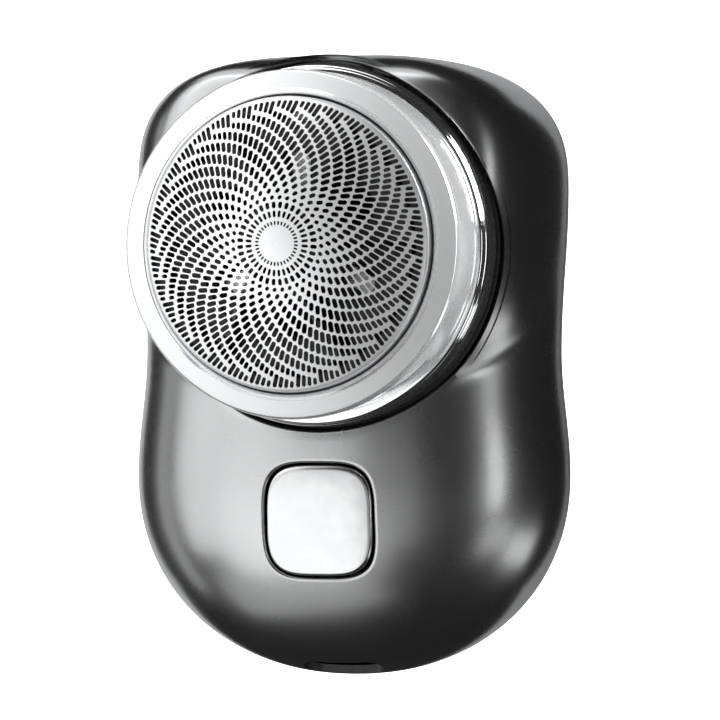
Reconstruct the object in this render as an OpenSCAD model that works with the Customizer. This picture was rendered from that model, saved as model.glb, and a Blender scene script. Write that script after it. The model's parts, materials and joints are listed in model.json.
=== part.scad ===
// Pocket rotary shaver with one round foil head, lying on its back.
// +Z points out of the front, +Y towards the head end, +X to the right seen from the front.
// The origin is on the flat of the back, in the middle of the body's length and width.

/* [Body] */
// Length of the body
body_len = 68; // [64:1:72]
// Widest width of the lower lobe
lobe_w = 49.2; // [46:0.1:52]
// Widest width around the head
top_w = 48.8; // [46:0.1:52]
// Width at the waist
waist_w = 47.2; // [44:0.1:48]
// Height of the seam between the two shells above the back
seam_z = 7.2; // [6:0.1:8]
// Height of the lower lobe above the seam
lobe_h = 13; // [11:0.1:14]
// Height of the shoulder around the head above the seam
tower_h = 13.2; // [12:0.1:14]
// Wall thickness of both shells
wall = 1.5; // [1.2:0.1:1.8]

/* [Head] */
// Distance of the head axis from the middle of the body
head_y = 12.9; // [12.5:0.1:13]
// Outer radius of the removable metal ring
cap_r = 18.75; // [18.5:0.05:19]
// Height of the front edge of the ring's side wall
cap_edge_z = 29.5; // [29:0.1:29.7]
// Radius of the domed foil
foil_r = 15.8; // [15.5:0.05:15.8]
// Height of the middle of the foil
foil_top_z = 34.4; // [34:0.1:35]
// Rise of the foil from its edge to its middle
foil_rise = 3.5; // [3.2:0.1:3.7]
// Number of slots in each ring of the foil
foil_slots = 36; // [18:1:48]
// How far the foil can sink when it is pressed
float_travel = 1.2; // [0.6:0.1:1.2]
// Number of cutter blades
blade_count = 6; // [3:1:9]

/* [Button] */
// Distance of the button below the middle of the body
button_y = -16.8; // [-18:0.1:-16]
// Width and height of the button
button_w = 12; // [11:0.1:13]
// How far the button can be pressed
press_travel = 0.4; // [0.2:0.05:0.4]

/* [Motor] */
// Outer radius of the motor can
motor_r = 12.2; // [11.5:0.1:12.2]
// Radius of the motor shaft
shaft_r = 1; // [0.75:0.05:1]
// Radial clearance of the shaft in its two bushes
shaft_fit = 0.05; // [0.01:0.01:0.1]

/* [Battery and board] */
// Width of the pouch cell
cell_w = 30; // [26:0.5:30]
// Length of the pouch cell
cell_len = 20; // [16:0.5:20]
// Thickness of the pouch cell
cell_t = 5; // [4:0.1:5]
// Thickness of the circuit board
board_t = 1; // [0.8:0.1:1.2]

/* [Hidden] */

half_len = body_len / 2;
eps = 0.01;
gap = 0.05;          // space between pieces that only rest on each other
round_fn = 96;
small_fn = 32;

// Outline of the body seen from the front
low_y = -12.1;       // where the lower lobe is widest
waist_y = 1.6;       // where the body is narrowest
high_y = 19.25;      // where the body is widest around the head
low_n = 2.12;        // superellipse exponent of the lower end
high_n = 2.65;       // superellipse exponent of the head end
hub_y = -1;          // centre of the shells' polar grids
grid_rings = 9;
flat_part = 0.6;     // part of the back, from its centre outwards, that is flat

function blend(a, b, s) = (a + b) / 2 + (a - b) / 2 * cos(180 * s);
function half_width(y) =
    y > high_y ? top_w / 2 * pow(max(0, 1 - pow((y - high_y) / (half_len - high_y), high_n)), 1 / high_n)
    : y > waist_y ? blend(waist_w, top_w, (y - waist_y) / (high_y - waist_y)) / 2
    : y > low_y ? blend(lobe_w, waist_w, (y - low_y) / (waist_y - low_y)) / 2
    : lobe_w / 2 * pow(max(0, 1 - pow((low_y - y) / (half_len + low_y), low_n)), 1 / low_n);

// The heights at which the outline has points, closer together towards both ends
end_steps = 12;
side_steps = 9;
function end_ys(y0, reach, n) = [for (i = [1 : end_steps]) y0 + reach * pow(sin(90 * i / end_steps), 2 / n)];
right_ys = concat(
    [-half_len],
    [for (i = [1 : end_steps]) low_y - (half_len + low_y) * pow(cos(90 * i / end_steps), 2 / low_n)],
    [for (i = [1 : side_steps]) low_y + (high_y - low_y) * i / side_steps],
    end_ys(high_y, half_len - high_y, high_n)
);
outline = concat(
    [for (y = right_ys) [half_width(y), y]],
    [for (i = [len(right_ys) - 2 : -1 : 1]) [-half_width(right_ys[i]), right_ys[i]]]
);
hub = [0, hub_y];
function inset_point(p, d) = hub + (p - hub) * (1 - d / norm(p - hub));
module outline_2d(inset) polygon([for (p = outline) inset_point(p, inset)]);
module outline_ring(inset_a, inset_b, z0, z1)
    translate([0, 0, z0])
        linear_extrude(z1 - z0)
            difference() {
                outline_2d(inset_a);
                outline_2d(inset_b);
            }

// Height of the front above the seam: a low pillow joined to a steep shoulder around the head
lobe_n = 2.3;
tower_n = 10;
tower_end_n = 20;
tower_foot_n = 6;
tower_foot_r = 25.6;
tower_squash = 1.25;       // how much shorter the shoulder is towards the lobe than to the sides
join_n = 10;
function arch(u, n) = sqrt(max(0, 1 - pow(min(1, abs(u)), n)));
function across(x, y, n) = half_width(y) < eps ? 0 : arch(x / half_width(y), n);
function lobe_z(x, y) =
    lobe_h * arch((y - low_y) / (y < low_y ? half_len + low_y : half_len - low_y), lobe_n)
    * across(x, y, lobe_n);
function tower_z(x, y) =
    tower_h * arch(max(0, y - head_y) / (half_len - head_y), tower_end_n)
    * across(x, y, tower_n)
    * arch(norm([x, tower_squash * min(0, y - head_y)]) / tower_foot_r, tower_foot_n);
function front_h(x, y) = pow(pow(lobe_z(x, y), join_n) + pow(tower_z(x, y), join_n), 1 / join_n);
function back_h(t) = seam_z * arch(max(0, t - flat_part) / (1 - flat_part), 2);

// A closed dome over the outline: rings of points from the seam to the middle, over a flat base.
// dir is 1 for the front and -1 for the back; inset makes the same dome inside a wall.
module dome(dir, inset) {
    count = len(outline);
    ts = [for (i = [0 : grid_rings]) cos(90 * i / (grid_rings + 1))];
    tip_h = dir > 0 ? front_h(hub[0], hub[1]) : back_h(0);
    scale_h = (tip_h - inset) / tip_h;
    points = concat(
        [for (t = ts) for (p = outline)
            let (outer = hub + (p - hub) * t,
                 q = hub + (inset_point(p, inset) - hub) * t,
                 h = t == 1 ? 0 : dir > 0 ? front_h(outer[0], outer[1]) : back_h(t))
            [q[0], q[1], seam_z + dir * h * scale_h]],
        [[hub[0], hub[1], seam_z + dir * tip_h * scale_h], [hub[0], hub[1], seam_z]]
    );
    tip = len(points) - 2;
    sides = [for (r = [0 : grid_rings - 1]) for (i = [0 : count - 1])
        let (j = (i + 1) % count, a = r * count, b = a + count)
        each [[a + i, b + i, a + j], [a + j, b + i, b + j]]];
    caps = [for (i = [0 : count - 1])
        let (j = (i + 1) % count, a = grid_rings * count)
        each [[a + i, tip, a + j], [j, tip + 1, i]]];
    faces = concat(sides, caps);
    polyhedron(points, dir > 0 ? faces : [for (f = faces) [f[2], f[1], f[0]]]);
}

// Rounded square with bulging sides, as wide as w
squircle_n = 3.6;
module squircle(w)
    polygon([for (a = [0 : 5 : 355])
        w / 2 * [sign(cos(a)) * pow(abs(cos(a)), 2 / squircle_n), sign(sin(a)) * pow(abs(sin(a)), 2 / squircle_n)]]);

module tube(r_out, r_in, z0, z1)
    translate([0, 0, z0])
        difference() {
            cylinder(r = r_out, h = z1 - z0, $fn = round_fn);
            translate([0, 0, -1]) cylinder(r = r_in, h = z1 - z0 + 2, $fn = round_fn);
        }
module disc(r, z0, z1) translate([0, 0, z0]) cylinder(r = r, h = z1 - z0, $fn = round_fn);
module at_head() translate([0, head_y, 0]) children();
module around(count, r, first = 0)
    for (i = [0 : count - 1]) rotate([0, 0, first + 360 * i / count]) translate([r, 0, 0]) children();
module at_points(points) for (p = points) translate(p) children();

// Pan-head screw with a cross recess, its head resting at z = 0
module screw(head_r, head_h, shank_r, shank_len) {
    slot_w = head_r * 0.3;
    slot_len = head_r * 1.2;
    difference() {
        cylinder(r = head_r, h = head_h, $fn = small_fn);
        for (a = [0, 90])
            rotate([0, 0, a])
                translate([-slot_len / 2, -slot_w / 2, head_h / 2]) cube([slot_len, slot_w, head_h]);
    }
    translate([0, 0, -shank_len]) cylinder(r = shank_r, h = shank_len + eps, $fn = small_fn);
}

// Round wire of radius r along a list of points
module wire(points, r) {
    sides = 8;
    last = len(points) - 1;
    function along(i) = points[min(last, i + 1)] - points[max(0, i - 1)];
    function unit(v) = v / norm(v);
    rings = [for (i = [0 : last])
        let (d = unit(along(i)), u = unit(cross(d, [1, 0, 0])), v = cross(d, u))
        for (k = [0 : sides - 1]) points[i] + r * (cos(360 * k / sides) * u + sin(360 * k / sides) * v)];
    walls = [for (i = [0 : last - 1]) for (k = [0 : sides - 1])
        let (a = i * sides, b = a + sides, m = (k + 1) % sides)
        each [[a + k, a + m, b + k], [a + m, b + m, b + k]]];
    polyhedron(rings, concat(
        walls,
        [[for (k = [sides - 1 : -1 : 0]) k]],
        [[for (k = [0 : sides - 1]) last * sides + k]]));
}

// ---- Shells ----
opening_r = 20;            // opening of the front shell around the neck
button_gap = 0.25;
usb_y = -32.3;             // mouth of the charging socket
usb_w = 8.94;
usb_h = 3.16;
usb_len = 7.35;
board_z = 12;              // underside of the board
usb_z = board_z - usb_h / 2;
seat_w = 3;                // width of the back cover's rim under the seam
tongue_w = 0.7;
tongue_h = 1.3;
boss_r = 2.2;
boss_top = 7.95;
boss_bore_z = 4.2;        // floor of the screw holes in the bosses
frame_points = [[16.5, 0.5, 0], [-16.5, 0.5, 0], [14.8, 25.5, 0], [-14.8, 25.5, 0]];

module stadium(w, h)
    union() {
        square([w - h, h], center = true);
        for (s = [-1, 1]) translate([s * (w - h) / 2, 0]) circle(d = h, $fn = small_fn);
    }
module usb_prism(w, h, y0, y1)
    translate([0, y1, usb_z])
        rotate([90, 0, 0])
            linear_extrude(y1 - y0) stadium(w, h);

module front_shell() color("#5c5e60")
    resize([lobe_w, body_len, 0])
        difference() {
            dome(1, 0);
            translate([0, 0, -eps]) dome(1, wall);
            at_head() disc(opening_r, seam_z + wall, cap_edge_z);
            translate([0, button_y, seam_z + wall])
                linear_extrude(lobe_h) squircle(button_w + 2 * button_gap);
            usb_prism(usb_w + 0.3, usb_h + 0.3, -half_len - 1, -half_len + 5);
        }

module back_cover() color("#545658")
    resize([lobe_w, body_len, 0])
        union() {
            difference() {
                dome(-1, 0);
                difference() {
                    translate([0, 0, eps]) dome(-1, wall);
                    at_points(frame_points) cylinder(r = boss_r, h = boss_bore_z, $fn = 16);
                }
            }
            outline_ring(wall / 2, seat_w, seam_z - 1, seam_z);
            outline_ring(seat_w - tongue_w, seat_w, seam_z - eps, seam_z + tongue_h);
            at_points(frame_points)
                translate([0, 0, boss_bore_z - eps])
                    difference() {
                        cylinder(r = boss_r, h = boss_top - boss_bore_z, $fn = 16);
                        translate([0, 0, eps]) cylinder(r = 1, h = boss_top, $fn = 16);
                    }
        }

module shell_gasket() color("#303030")
    outline_ring(wall + 0.1, seat_w - tongue_w - 0.1, seam_z + gap, seam_z + 0.8);

// ---- Inner frame, board and battery ----
frame_z = 8.5;
frame_t = 0.8;
ear_t = 1.5;
ring_r = motor_r + 0.1;
deck_z = 15.5;             // underside of the deck, on the motor's front
deck_screw_r = 14.9;
screw_turn = 90;           // where the first of the deck screws is, round the head axis
board_points = [[11, -6, 0], [-11, -6, 0], [10, -22, 0], [-10, -22, 0]];

module inner_frame() color("#2b2b2b") {
    ears_z = boss_top + gap;
    difference() {
        union() {
            translate([-14, -24, frame_z]) cube([28, 22, frame_t]);
            for (s = [-1, 1]) translate([s * 9 - 1.5, -3, frame_z]) cube([3, 8, ear_t]);
            at_head() disc(ring_r + 1.4, frame_z, deck_z - gap);
            at_head() around(3, deck_screw_r, screw_turn) disc(2, frame_z + 0.3, deck_z - gap);
            for (p = frame_points)
                translate(p) {
                    disc(boss_r + 0.4, ears_z, ears_z + ear_t);
                    rotate([0, 0, atan2(head_y - p[1], -p[0])])
                        translate([0, -1.5, ears_z]) cube([7, 3, ear_t]);
                }
            at_points(board_points) disc(1.7, frame_z, board_z - gap);
        }
        at_head() disc(ring_r, 0, deck_z + 1);
        at_head() around(3, deck_screw_r, screw_turn) disc(0.85, 10, deck_z + 1);
        at_points(frame_points) disc(1.1, 0, deck_z);
        at_points(board_points) disc(0.65, frame_z + 0.5, board_z + 1);
    }
}
module frame_screws() color("#b8b8b8")
    at_points(frame_points) translate([0, 0, boss_top + 2 * gap + ear_t]) screw(1.8, 1.2, 0.95, 4.5);

module circuit_board() color("#1f5b3a")
    difference() {
        intersection() {
            translate([-13.5, -30.5, board_z]) cube([27, 28, board_t]);
            translate([0, -10, 0]) disc(19.6, board_z - 1, board_z + board_t + 1);
        }
        at_points(board_points) disc(0.8, board_z - 1, board_z + board_t + 1);
    }
module board_screws() color("#b8b8b8")
    at_points(board_points) translate([0, 0, board_z + board_t + gap]) screw(1.4, 0.8, 0.6, 2.8);

// Chips and small parts on both sides of the board: [x, y, width, length, height, side]
chip_list = [
    [0, -7, 5, 4, 1.2, 1], [7, -9, 3, 3, 1, 1], [-7.5, -9.5, 3.2, 1.6, 0.9, 1],
    [8.5, -13, 2, 1.2, 0.6, 1], [8.5, -15, 2, 1.2, 0.6, 1], [8.5, -17, 2, 1.2, 0.6, 1],
    [-8.5, -13.5, 1.2, 2, 0.6, 1], [-8.5, -17, 1.2, 2, 0.6, 1],
    [0, -19, 4, 4, 1.1, -1], [6, -13, 2, 1.2, 0.7, -1], [-6, -13, 2, 1.2, 0.7, -1]
];
module board_chips() color("#202020")
    for (c = chip_list)
        translate([c[0] - c[2] / 2, c[1] - c[3] / 2, c[5] > 0 ? board_z + board_t : board_z - c[4]])
            cube([c[2], c[3], c[4]]);

module usb_socket() color("#c9c9c9")
    difference() {
        usb_prism(usb_w, usb_h, usb_y, usb_y + usb_len);
        usb_prism(usb_w - 0.6, usb_h - 0.6, usb_y - 1, usb_y + usb_len - 1);
    }
module usb_tongue() color("#202020")
    translate([-3.35, usb_y + 0.9, usb_z - 0.35]) cube([6.7, usb_len - 1.9, 0.7]);
module usb_seal() color("#303030")
    difference() {
        usb_prism(usb_w + 1.2, usb_h + 0.6, usb_y + 1.2, usb_y + 2);
        usb_prism(usb_w + 0.1, usb_h + 0.1, usb_y, usb_y + usb_len);
    }

cell_z = 3.4;
cell_top_y = -2;
module battery_cell() color("#8fa3b8") {
    translate([-cell_w / 2, cell_top_y - cell_len, cell_z])
        cube([cell_w, cell_len - 2, cell_t]);
    translate([-cell_w / 2 + 1, cell_top_y - 2 - eps, cell_z + 1]) cube([cell_w - 2, 2, cell_t - 2]);
}
module battery_pad() color("#404040")
    translate([-7, cell_top_y - cell_len + 8, wall + gap]) cube([14, 9, cell_z - wall - 2 * gap]);

lead_r = 0.4;
terminal_x = 3.4;         // the motor's terminals, either side of the middle
lead_top = [0, -3.4, board_z - gap];
module lead_pair(x, start) for (s = [-1, 1])
    wire([for (p = [
        start, start + [0, 0.3, 0.8], [0, -0.9, 5.5], [0, -1, 8], [0, -1.1, 9.6],
        [0, -2, 10.8], [0, -3, 11.1], lead_top - [0, 0, 0.4], lead_top
    ]) [s * x, p[1], p[2]]], lead_r);
module motor_leads() color("#b03030") lead_pair(terminal_x, [0, -0.7, 2.8]);
module battery_leads() color("#a02828")
    for (s = [-1, 1])
        wire([[s * 6, -1.95, 5.9], [s * 6, -1.5, 5.9], [s * 6, -1.1, 6.6], [s * 6, -1, 7.8], [s * 6, -1, 9.4],
              [s * 6, -1.9, 10.8], [s * 6, -3, 11.1], [s * 6, 0, 0] + lead_top - [0, 0, 0.4],
              [s * 6, 0, 0] + lead_top], lead_r);

// ---- Button and switch ----
switch_h = 2;
plunger_top = board_z + board_t + 3.5;
guide_top = 15.9;
module tactile_switch() color("#3a3a3a")
    translate([0, button_y, board_z + board_t])
        difference() {
            translate([-3, -3, 0]) cube([6, 6, switch_h]);
            disc(1.9, 0.7, switch_h + 1);
        }
module switch_plunger() color("#1a1a1a")
    translate([0, button_y, 0]) disc(1.7, board_z + board_t + 0.7 + press_travel + 0.1, plunger_top);
module button_guide() color("#2b2b2b")
    translate([0, button_y, board_z + board_t + gap])
        linear_extrude(guide_top - board_z - board_t - gap)
            difference() {
                squircle(button_w + 2);
                squircle(button_w + 0.4);
            }
module button_gasket() color("#303030")
    translate([0, button_y, guide_top + gap])
        linear_extrude(0.4)
            difference() {
                squircle(button_w + 2);
                squircle(button_w + 0.6);
            }

button_face_z = 19.85;     // front of the button at its middle
button_tilt = 3;           // the face follows the slope of the lobe
button_dome_r = 80;
module power_button() color("#e9eaec")
    translate([0, button_y, 0]) {
        intersection() {
            difference() {
                translate([0, 0, 16]) linear_extrude(6) squircle(button_w);
                translate([0, 0, 15]) linear_extrude(3) squircle(button_w - 2);
            }
            translate([0, 0, button_face_z])
                rotate([button_tilt, 0, 0])
                    translate([0, 0, -button_dome_r]) sphere(r = button_dome_r, $fn = round_fn);
        }
        disc(1.6, plunger_top + gap, 18 + eps);
    }

// ---- Motor, its axis on the head axis ----
can_z = 3.2;               // open end of the motor can
end_cap_z = 2.2;           // outer face of the end cap, clear of the back cover
can_t = 0.6;               // wall of the motor can
motor_screw_r = 8.5;       // the motor screws' distance from the axis
bush_r = 2.25;
core_z0 = 6;               // armature core, from core_z0 to core_z1
core_z1 = 12;
module motor_can() color("#b5b7b9") at_head()
    difference() {
        union() {
            disc(motor_r, can_z, deck_z - gap);
            disc(3, deck_z - 1, deck_z + 0.6);
        }
        disc(motor_r - can_t, can_z - 1, deck_z - 0.8);
        disc(bush_r + gap, 0, deck_z + 2);
        around(2, motor_screw_r) disc(0.9, deck_z - 2, deck_z + 1);
    }
module motor_end_cap() color("#d8d4c8") at_head()
    difference() {
        union() {
            disc(motor_r, end_cap_z, can_z - gap);
            disc(motor_r - can_t - gap, end_cap_z + 0.1, can_z + 0.6);
            for (s = [-1, 1]) translate([s * terminal_x - 0.8, -motor_r - 1, end_cap_z]) cube([1.6, 2, 0.8]);
        }
        disc(bush_r + gap, 1, 6);
    }
module bush(z0, z1) at_head() tube(bush_r, shaft_r + shaft_fit, z0, z1);
module front_bush() color("#b08d57") bush(13.2, deck_z + 0.6);
module rear_bush() color("#b08d57") bush(1.8, can_z + 0.5);
module motor_magnets() color("#4a4a4a") at_head()
    difference() {
        tube(motor_r - can_t - gap, 9.7, 4.4, 13.6);
        for (s = [0, 1]) rotate([0, 0, 180 * s]) translate([-2.5, 0, 0]) cube([5, 20, 20]);
    }
module motor_brushes() color("#b87333") at_head()
    for (s = [-1, 1])
        union() {
            translate([s * 2.5 - 0.15, -6, 4.2]) cube([0.3, 8, 0.6]);
            translate([s * 2.5 - 0.15, -6, can_z + 0.6]) cube([0.3, 1.2, 1]);
        }
module motor_screws() color("#b8b8b8") at_head()
    around(2, motor_screw_r) translate([0, 0, deck_floor + gap]) screw(1.7, 1.1, 0.85, 3.2);

module motor_shaft() color("#d0d0d0") at_head() disc(shaft_r, 2, 22);
module armature_core() color("#8a8d90") at_head()
    difference() {
        union() {
            disc(3.2, core_z0, core_z1);
            for (a = [0, 120, 240])
                rotate([0, 0, a + 90]) {
                    translate([2, -1.2, core_z0]) cube([6, 2.4, core_z1 - core_z0]);
                    intersection() {
                        tube(9.2, 7.6, core_z0, core_z1);
                        translate([0, -5, 0]) cube([12, 10, 20]);
                    }
                }
        }
        disc(shaft_r, 0, 20);
    }
module armature_windings() color("#b5651d") at_head()
    for (a = [0, 120, 240])
        rotate([0, 0, a + 90])
            difference() {
                translate([3.7, -2.6, core_z0 - 0.9]) cube([3.2, 5.2, core_z1 - core_z0 + 1.8]);
                translate([0, -1.25, core_z0 - gap]) cube([8, 2.5, core_z1 - core_z0 + 2 * gap]);
            }
module commutator() color("#b87333") at_head()
    difference() {
        disc(2.25, 4.1, 5.9);
        disc(shaft_r, 3, 7);
        for (a = [30, 150, 270]) rotate([0, 0, a]) translate([1.6, -0.15, 3]) cube([2, 0.3, 4]);
    }

// ---- Deck and neck ----
deck_floor = 17;
deck_r = 19.6;
deck_bore_r = 17.05;
neck_top = 20.8;
seal_r = 3.3;
ring_magnet_r = 14.4;
magnet_turn = 30;          // where the first of the magnets is
magnet_r = 1.4;
magnet_t = 1.5;
magnet_boss_r = 2.1;
module head_deck() color("#2f3133") at_head()
    difference() {
        union() {
            disc(deck_r, deck_z, deck_floor);
            tube(deck_r, deck_bore_r, deck_z, neck_top);
            around(3, ring_magnet_r, magnet_turn) disc(magnet_boss_r, deck_z, deck_floor + 1.85);
        }
        disc(seal_r, 0, 20);
        around(2, motor_screw_r) disc(1, 0, 20);
        around(3, deck_screw_r, screw_turn) disc(1, 0, 20);
        around(3, ring_magnet_r, magnet_turn) disc(magnet_r + gap, deck_floor + 0.2, 20);
        rotate_extrude($fn = round_fn) translate([deck_r, 17.9]) circle(r = 0.5, $fn = small_fn);
        for (z = [19.2, 19.7, 20.2])
            rotate_extrude($fn = round_fn) translate([deck_r - 0.08, z]) square([1, 0.12]);
    }
module deck_screws() color("#b8b8b8") at_head()
    around(3, deck_screw_r, screw_turn) translate([0, 0, deck_floor + gap]) screw(1.7, 1.1, 0.8, 5);
module deck_o_ring() color("#1c1c1c") at_head()
    rotate_extrude($fn = round_fn) translate([deck_r - 0.05, 17.9]) circle(r = 0.4, $fn = small_fn);
module shaft_seal() color("#1c1c1c") at_head()
    tube(seal_r - gap, shaft_r + shaft_fit, deck_z + 0.7, deck_floor - gap);
module deck_magnets() color("#c0c4c8") at_head()
    around(3, ring_magnet_r, magnet_turn) disc(magnet_r, deck_floor + 0.25, deck_floor + 0.25 + magnet_t);
base_r = 19.5;
base_top = neck_top + 1.5;
module base_ring() color("#d5d7d9") at_head()
    rotate_extrude($fn = round_fn)
        polygon([
            [deck_bore_r, neck_top + gap], [base_r - 0.15, neck_top + gap],
            [base_r, neck_top + 0.2], [base_r, neck_top + 0.6],
            [base_r - 0.2, neck_top + 0.7], [base_r - 0.2, neck_top + 1.2],
            [base_r - 0.5, base_top], [deck_bore_r, base_top]
        ]);

// ---- Drive ----
collar_z = 17.15;
spring_z0 = 17.75;
spring_z1 = 22.6;
spindle_z0 = 19.2;
shoulder_z = 24.5;
flat_w = 3;                // width across the two flats of the drive collar
module flatted(r, w, z0, z1)
    intersection() {
        disc(r, z0, z1);
        translate([-w / 2, -r - 1, z0 - 1]) cube([w, 2 * r + 2, z1 - z0 + 2]);
    }
module drive_collar() color("#e4e0d4") at_head()
    difference() {
        union() {
            disc(3.9, collar_z, spring_z0 - gap);
            flatted(1.9, flat_w, collar_z, 20.6);
        }
        disc(shaft_r, 0, 30);
    }
module spindle_spring() color("#c8c8c8") at_head() {
    turns = 5;
    steps = 16;
    wire_r = 0.2;
    rise = spring_z1 - spring_z0 - 2 * wire_r - 2 * gap;
    coil = [for (i = [0 : turns * steps])
        let (a = 360 * i / steps)
        [3.4 * cos(a), 3.4 * sin(a), spring_z0 + wire_r + gap + rise * i / (turns * steps)]];
    coil_wire(coil, wire_r);
}
// As wire(), for a coil about the Z axis
module coil_wire(points, r) {
    sides = 6;
    last = len(points) - 1;
    rings = [for (i = [0 : last])
        let (out = [points[i][0], points[i][1], 0] / norm([points[i][0], points[i][1]]))
        for (k = [0 : sides - 1])
            points[i] + r * (cos(360 * k / sides) * out + sin(360 * k / sides) * [0, 0, 1])];
    walls = [for (i = [0 : last - 1]) for (k = [0 : sides - 1])
        let (a = i * sides, b = a + sides, m = (k + 1) % sides)
        each [[a + k, b + k, a + m], [a + m, b + k, b + m]]];
    polyhedron(rings, concat(
        walls,
        [[for (k = [0 : sides - 1]) k]],
        [[for (k = [sides - 1 : -1 : 0]) last * sides + k]]));
}
module drive_spindle() color("#e4e0d4") at_head()
    difference() {
        union() {
            disc(2.6, spindle_z0, shoulder_z);
            disc(3.9, spring_z1, spring_z1 + 0.7);
            translate([0, 0, shoulder_z - eps]) cylinder(d = 3.2, h = 1.9, $fn = 6);
        }
        flatted(2, flat_w + 0.2, spindle_z0 - 1, 22.1);
        disc(shaft_r + 0.1, spindle_z0, 23.6);
    }

// ---- Removable head ----
lip_r = 16.05;             // opening of the ring around the foil
face_r = 16.7;             // inner edge of the ring's front face
face_z = 30.1;
cap_bore_r = 16.8;
cap_z = 22.45;
lip_z = 29.3;
notch_y = -12.4;           // the thumb notch is the part of the side wall below this line
notch_d = 0.75;
notch_top_z = 28.6;
module cap_ring() color("#d9dbdc") at_head()
    difference() {
        rotate_extrude($fn = round_fn)
            polygon([
                [cap_bore_r, cap_z], [cap_r - 0.1, cap_z], [cap_r, cap_z + 0.1], [cap_r, cap_edge_z - 0.4],
                [cap_r - 0.1, cap_edge_z - 0.1], [cap_r - 0.4, cap_edge_z + 0.1],
                [face_r, face_z - 0.05], [face_r - 0.25, face_z + 0.05],
                [lip_r, face_z - 0.25], [lip_r, lip_z], [cap_bore_r, lip_z]
            ]);
        intersection() {
            tube(cap_r + 1, cap_r - notch_d, cap_z - 1, notch_top_z);
            translate([-30, notch_y - 30, 0]) cube([60, 30, 60]);
        }
    }
liner_r = 16.75;
liner_bore_r = 15.6;
liner_z0 = 19;
liner_z1 = 26.5;
module cap_liner() color("#2b2b2b") at_head()
    difference() {
        union() {
            tube(liner_r, liner_bore_r, liner_z0, liner_z1);
            around(3, ring_magnet_r, magnet_turn) disc(magnet_boss_r, liner_z0, liner_z0 + 2.4);
            around(3, liner_bore_r, 90)
                translate([-1, -2, retainer_z - 1.1]) cube([1.6, 4, 1]);
        }
        around(3, ring_magnet_r, magnet_turn) disc(magnet_r + gap, liner_z0 - 1, liner_z0 + 0.2 + magnet_t);
    }
module cap_magnets() color("#c0c4c8") at_head()
    around(3, ring_magnet_r, magnet_turn) disc(magnet_r, liner_z0 + 0.15, liner_z0 + 0.15 + magnet_t);
retainer_z = 24.9;
module cutter_retainer() color("#c9c9c9") at_head() {
    tube(liner_bore_r - gap, liner_bore_r - 1, retainer_z, retainer_z + 0.7);
    tube(5, 3.6, retainer_z, retainer_z + 0.7);
    around(3, 4.5, 90) translate([0, -1, retainer_z]) cube([10.5, 2, 0.7]);
}

// ---- Foil and cutter ----
foil_t = 0.25;
foil_sphere_r = (foil_r * foil_r + foil_rise * foil_rise) / (2 * foil_rise);
foil_edge_z = foil_top_z - foil_rise;
foil_centre_z = foil_top_z - foil_sphere_r;
holder_z0 = liner_z1 + float_travel + 0.2;   // the foil sinks until its holder meets the liner
holder_z1 = 29.2;
// Each ring of slots: [middle radius, length, width]
slot_rings = [[4.2, 0.9, 0.4], [7, 1.6, 0.5], [10, 1.8, 0.6], [13, 2, 0.6]];
module foil() color("#c4c6c8") at_head()
    difference() {
        intersection() {
            disc(foil_r, holder_z1 + gap, foil_top_z + 1);
            translate([0, 0, foil_centre_z]) sphere(r = foil_sphere_r, $fn = round_fn);
        }
        intersection() {
            disc(foil_r - foil_t, 0, foil_top_z);
            translate([0, 0, foil_centre_z]) sphere(r = foil_sphere_r - foil_t, $fn = round_fn);
        }
        for (s = slot_rings)
            around(foil_slots, s[0]) translate([-s[1] / 2, -s[2] / 2, foil_edge_z]) cube([s[1], s[2], 9]);
    }
module foil_holder() color("#2b2b2b") at_head() {
    tube(16.6, 14.3, holder_z0, holder_z1);
    tube(foil_r - foil_t - gap, 14.3, holder_z1 - eps, holder_z1 + 1.3);
}
hub_z0 = 27;
hub_z1 = 28.5;
module cutter_hub() color("#202020") at_head()
    difference() {
        union() {
            disc(12.6, hub_z0, hub_z1);
            disc(3.2, shoulder_z + 0.1, hub_z0 + eps);
        }
        translate([0, 0, shoulder_z - 1]) cylinder(d = 3.5, h = 3.6, $fn = 6);
        around(blade_count, 8, 30) disc(2.2, hub_z0 - 1, hub_z1 + 1);
    }
module cutter_blades() color("#cfd1d3") at_head()
    intersection() {
        union() {
            tube(13.4, 10.6, hub_z1 + gap, hub_z1 + 0.45);
            disc(5.4, hub_z1 + gap, hub_z1 + 0.45);
            around(blade_count, 0) {
                translate([4, -0.9, hub_z1 + gap]) cube([8, 1.8, 0.4]);
                translate([2.6, 0, hub_z1 + gap]) rotate([12, 0, 0]) cube([10.7, 0.45, 7]);
            }
        }
        translate([0, 0, foil_centre_z]) sphere(r = foil_sphere_r - foil_t - 0.08, $fn = round_fn);
    }

front_shell();
back_cover();
shell_gasket();
inner_frame();
frame_screws();
head_deck();
deck_screws();
deck_o_ring();
shaft_seal();
deck_magnets();
base_ring();
motor_can();
motor_end_cap();
motor_magnets();
front_bush();
rear_bush();
motor_brushes();
motor_screws();
motor_leads();
battery_cell();
battery_pad();
battery_leads();
circuit_board();
board_chips();
board_screws();
usb_socket();
usb_tongue();
usb_seal();
tactile_switch();
switch_plunger();
button_guide();
button_gasket();
power_button();
motor_shaft();
armature_core();
armature_windings();
commutator();
drive_collar();
spindle_spring();
drive_spindle();
cap_ring();
cap_liner();
cap_magnets();
cutter_retainer();
foil();
foil_holder();
cutter_hub();
cutter_blades();
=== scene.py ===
"""Pocket rotary shaver: smooth pieces, materials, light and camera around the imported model.

Lengths in this script are millimetres until a mesh is made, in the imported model's own frame:
+Z out of the front, +Y towards the head end, +X to the right, the back on the floor.
"""
import json
import math

import bmesh
import bpy
import numpy as np
from mathutils import Matrix, Vector
from mathutils.geometry import delaunay_2d_cdt


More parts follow.
